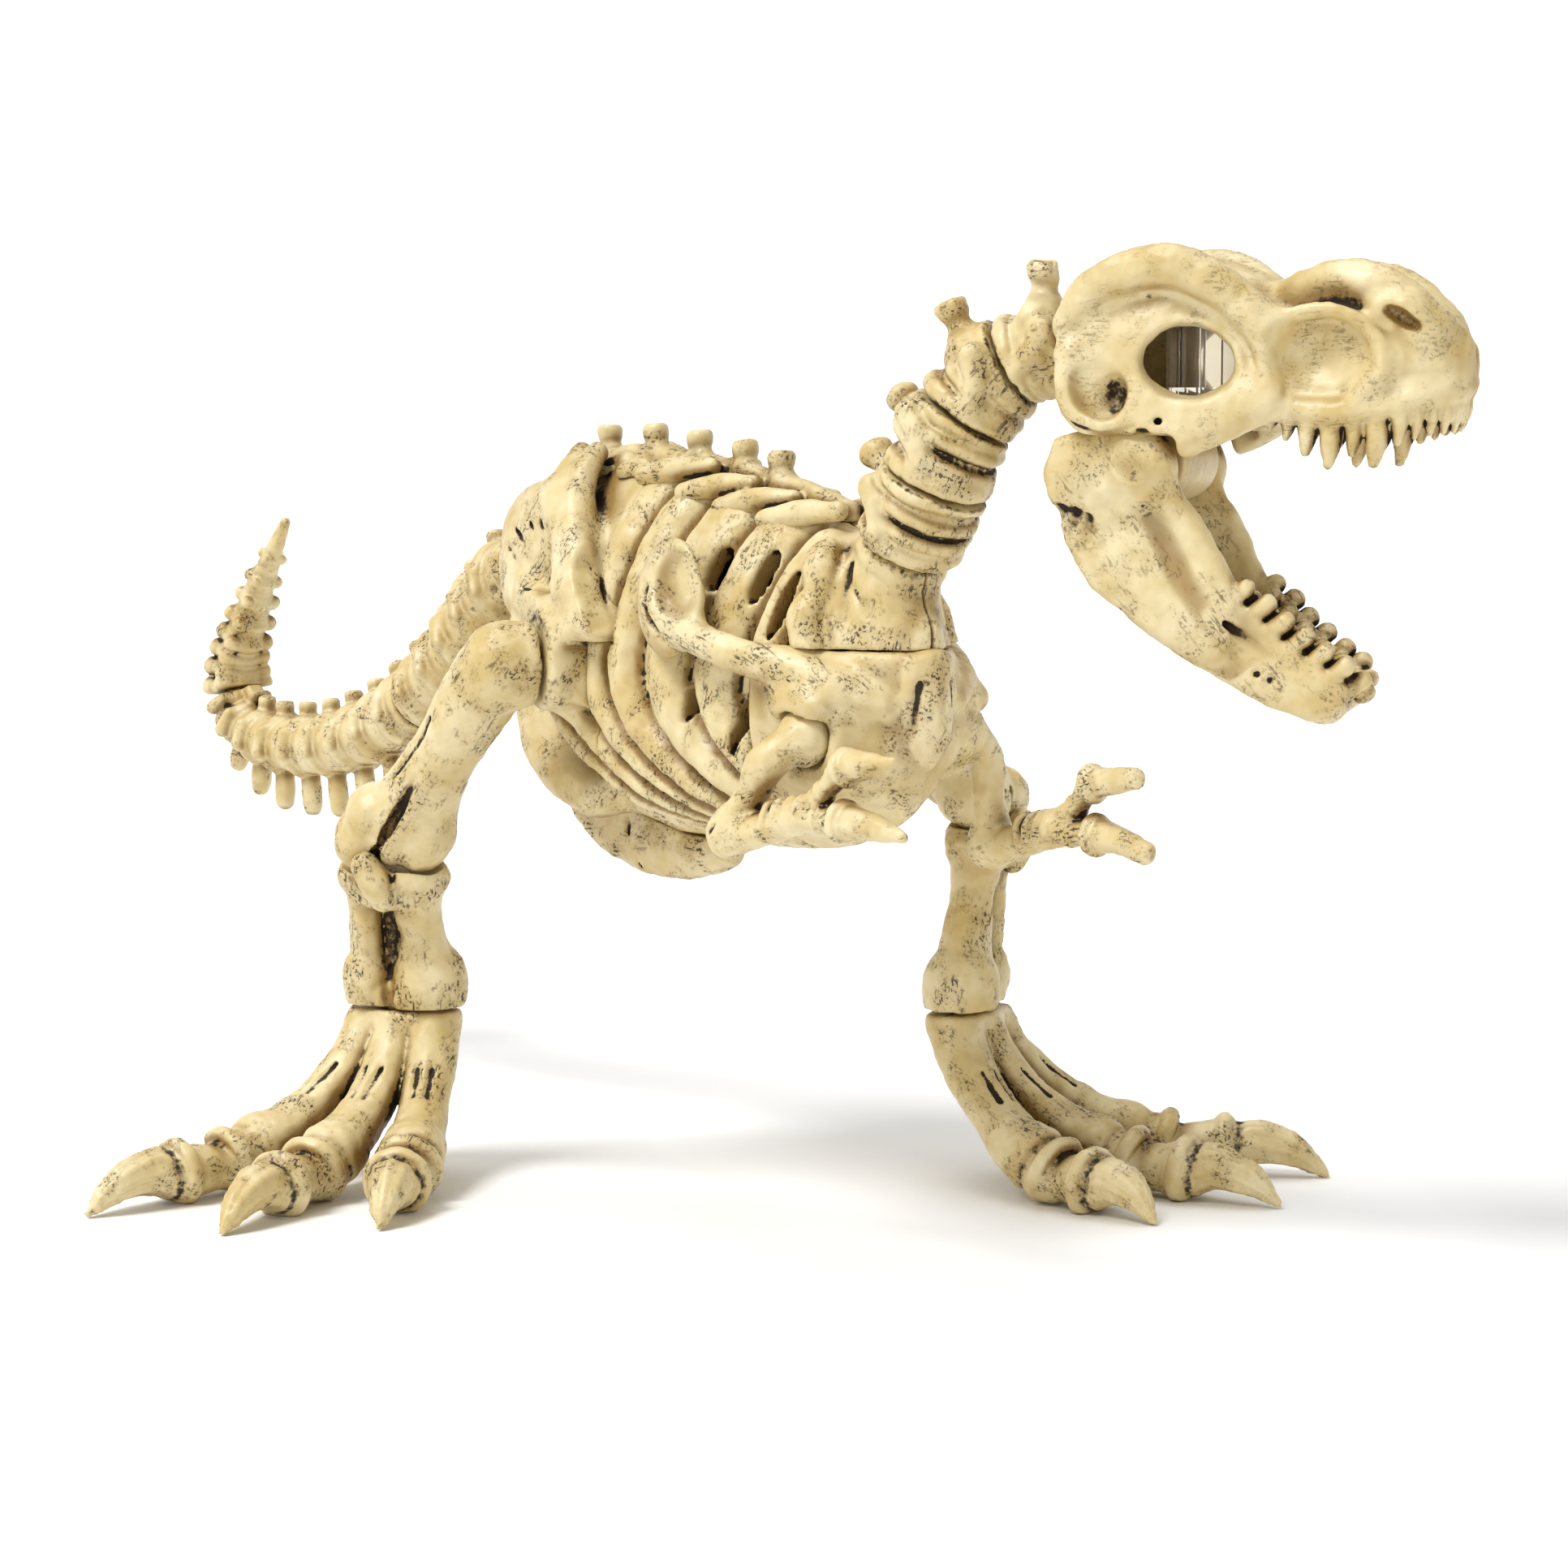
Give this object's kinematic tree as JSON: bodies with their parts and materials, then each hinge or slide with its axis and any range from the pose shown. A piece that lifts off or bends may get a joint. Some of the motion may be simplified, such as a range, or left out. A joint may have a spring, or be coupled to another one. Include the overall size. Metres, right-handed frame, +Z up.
{
  "type": "posable tyrannosaur skeleton figure",
  "caption": "Free-standing posable tyrannosaur skeleton figure in bone-coloured plastic, with a hinged jaw, swivelling neck, legs, arms and tail.",
  "frame": {"origin": "middle of the standing figure's bounding box, on the floor", "axes": "+X the way the chest faces, +Y the animal's left, +Z up"},
  "size_m": [0.459, 0.2782, 0.2305],
  "materials": {
    "rib_cage_right": "satin moulded, with a dark wash in the hollows",
    "rib_cage_left": "satin moulded, with a dark wash in the hollows",
    "pelvis_right": "satin moulded, with a dark wash in the hollows",
    "pelvis_left": "satin moulded, with a dark wash in the hollows",
    "backbone": "satin moulded, with a dark wash in the hollows",
    "breastplate": "satin moulded, with a dark wash in the hollows",
    "pubic_keel": "satin moulded, with a dark wash in the hollows",
    "skull_right": "satin moulded, with a dark wash in the hollows",
    "skull_left": "satin moulded, with a dark wash in the hollows",
    "eye_capsule": "clear moulded plastic",
    "throat_drum": "satin moulded, with a dark wash in the hollows",
    "jaw_pin": "satin moulded, with a dark wash in the hollows",
    "lower_jaw": "satin moulded, with a dark wash in the hollows",
    "neck_1": "satin moulded, with a dark wash in the hollows",
    "neck_2": "satin moulded, with a dark wash in the hollows",
    "neck_3": "satin moulded, with a dark wash in the hollows",
    "neck_4": "satin moulded, with a dark wash in the hollows",
    "arm_right": "satin moulded, with a dark wash in the hollows",
    "femur_right": "satin moulded, with a dark wash in the hollows",
    "shank_right": "satin moulded, with a dark wash in the hollows",
    "foot_right": "satin moulded, with a dark wash in the hollows",
    "arm_left": "satin moulded, with a dark wash in the hollows",
    "femur_left": "satin moulded, with a dark wash in the hollows",
    "shank_left": "satin moulded, with a dark wash in the hollows",
    "foot_left": "satin moulded, with a dark wash in the hollows",
    "tail_base": "satin moulded, with a dark wash in the hollows",
    "tail_middle": "satin moulded, with a dark wash in the hollows",
    "tail_tip": "satin moulded, with a dark wash in the hollows"
  },
  "bodies": {
    "trunk": {"rib_cage_right": "rib_cage_right", "rib_cage_left": "rib_cage_left", "pelvis_right": "pelvis_right", "pelvis_left": "pelvis_left", "backbone": "backbone", "breastplate": "breastplate", "pubic_keel": "pubic_keel"},
    "head": {"skull_right": "skull_right", "skull_left": "skull_left", "eye_capsule": "eye_capsule", "throat_drum": "throat_drum", "jaw_pin": "jaw_pin"},
    "jaw": {"lower_jaw": "lower_jaw"},
    "neck_1": {"neck_1": "neck_1"},
    "neck_2": {"neck_2": "neck_2"},
    "neck_3": {"neck_3": "neck_3"},
    "neck_4": {"neck_4": "neck_4"},
    "arm_right": {"arm_right": "arm_right"},
    "thigh_right": {"femur_right": "femur_right"},
    "shin_right": {"shank_right": "shank_right"},
    "foot_right": {"foot_right": "foot_right"},
    "arm_left": {"arm_left": "arm_left"},
    "thigh_left": {"femur_left": "femur_left"},
    "shin_left": {"shank_left": "shank_left"},
    "foot_left": {"foot_left": "foot_left"},
    "tail_base": {"tail_base": "tail_base"},
    "tail_middle": {"tail_middle": "tail_middle"},
    "tail_tip": {"tail_tip": "tail_tip"}
  },
  "joints": [
    {"name": "neck_1_twist", "type": "hinge", "parent": "trunk", "child": "neck_1", "pos_m": [0.11023, -0.00192, 0.1655], "axis": [0.5735, 0, 0.8192], "range_deg": [-20, 20]},
    {"name": "neck_2_twist", "type": "hinge", "parent": "neck_1", "child": "neck_2", "pos_m": [0.12073, -0.00192, 0.1805], "axis": [0.4681, 0.1024, 0.8777], "range_deg": [-20, 20]},
    {"name": "neck_3_twist", "type": "hinge", "parent": "neck_2", "child": "neck_3", "pos_m": [0.12623, 0.00158, 0.1955], "axis": [0.462, 0.308, 0.8317], "range_deg": [-20, 20]},
    {"name": "neck_4_twist", "type": "hinge", "parent": "neck_3", "child": "neck_4", "pos_m": [0.13573, 0.00808, 0.2075], "axis": [0.7431, 0.456, 0.4898], "range_deg": [-20, 20]},
    {"name": "head_turn", "type": "hinge", "parent": "neck_4", "child": "head", "pos_m": [0.14823, 0.01508, 0.21], "axis": [0.8595, 0.4813, 0.1719], "range_deg": [-25, 25]},
    {"name": "jaw_open", "type": "hinge", "parent": "head", "child": "jaw", "pos_m": [0.16708, 0.02572, 0.1855], "axis": [-0.4848, 0.8746, 0], "range_deg": [-42, 1]},
    {"name": "shoulder_right", "type": "hinge", "parent": "trunk", "child": "arm_right", "pos_m": [0.10123, -0.02442, 0.122], "axis": [0, 1, 0], "range_deg": [-35, 35]},
    {"name": "hip_right", "type": "hinge", "parent": "trunk", "child": "thigh_right", "pos_m": [0.00523, -0.03992, 0.134], "axis": [0.2924, 0.9563, 0], "range_deg": [-20, 20]},
    {"name": "knee_right", "type": "hinge", "parent": "thigh_right", "child": "shin_right", "pos_m": [-0.03277, -0.05592, 0.088], "axis": [0.766, 0.6428, 0], "range_deg": [-15, 10]},
    {"name": "ankle_right", "type": "hinge", "parent": "shin_right", "child": "foot_right", "pos_m": [-0.04277, -0.04692, 0.043], "axis": [0, 0, 1], "range_deg": [-25, 25]},
    {"name": "shoulder_left", "type": "hinge", "parent": "trunk", "child": "arm_left", "pos_m": [0.10123, 0.02058, 0.122], "axis": [0, 1, 0], "range_deg": [-35, 35]},
    {"name": "hip_left", "type": "hinge", "parent": "trunk", "child": "thigh_left", "pos_m": [0.00523, 0.03608, 0.134], "axis": [-0.2924, 0.9563, 0], "range_deg": [-20, 20]},
    {"name": "knee_left", "type": "hinge", "parent": "thigh_left", "child": "shin_left", "pos_m": [0.04723, 0.07408, 0.097], "axis": [-0.5299, 0.848, 0], "range_deg": [-15, 10]},
    {"name": "ankle_left", "type": "hinge", "parent": "shin_left", "child": "foot_left", "pos_m": [0.04923, 0.06608, 0.044], "axis": [0, 0, 1], "range_deg": [-25, 25]},
    {"name": "tail_base_twist", "type": "hinge", "parent": "trunk", "child": "tail_base", "pos_m": [-0.04477, -0.00192, 0.157], "axis": [-0.9285, 0, -0.3714], "range_deg": [-20, 20]},
    {"name": "tail_middle_twist", "type": "hinge", "parent": "tail_base", "child": "tail_middle", "pos_m": [-0.11027, -0.00192, 0.116], "axis": [-0.8849, 0, -0.4657], "range_deg": [-45, 45]},
    {"name": "tail_tip_twist", "type": "hinge", "parent": "tail_middle", "child": "tail_tip", "pos_m": [-0.21927, -0.00192, 0.111], "axis": [-0.2873, 0, 0.9578], "range_deg": [-60, 60]}
  ]
}
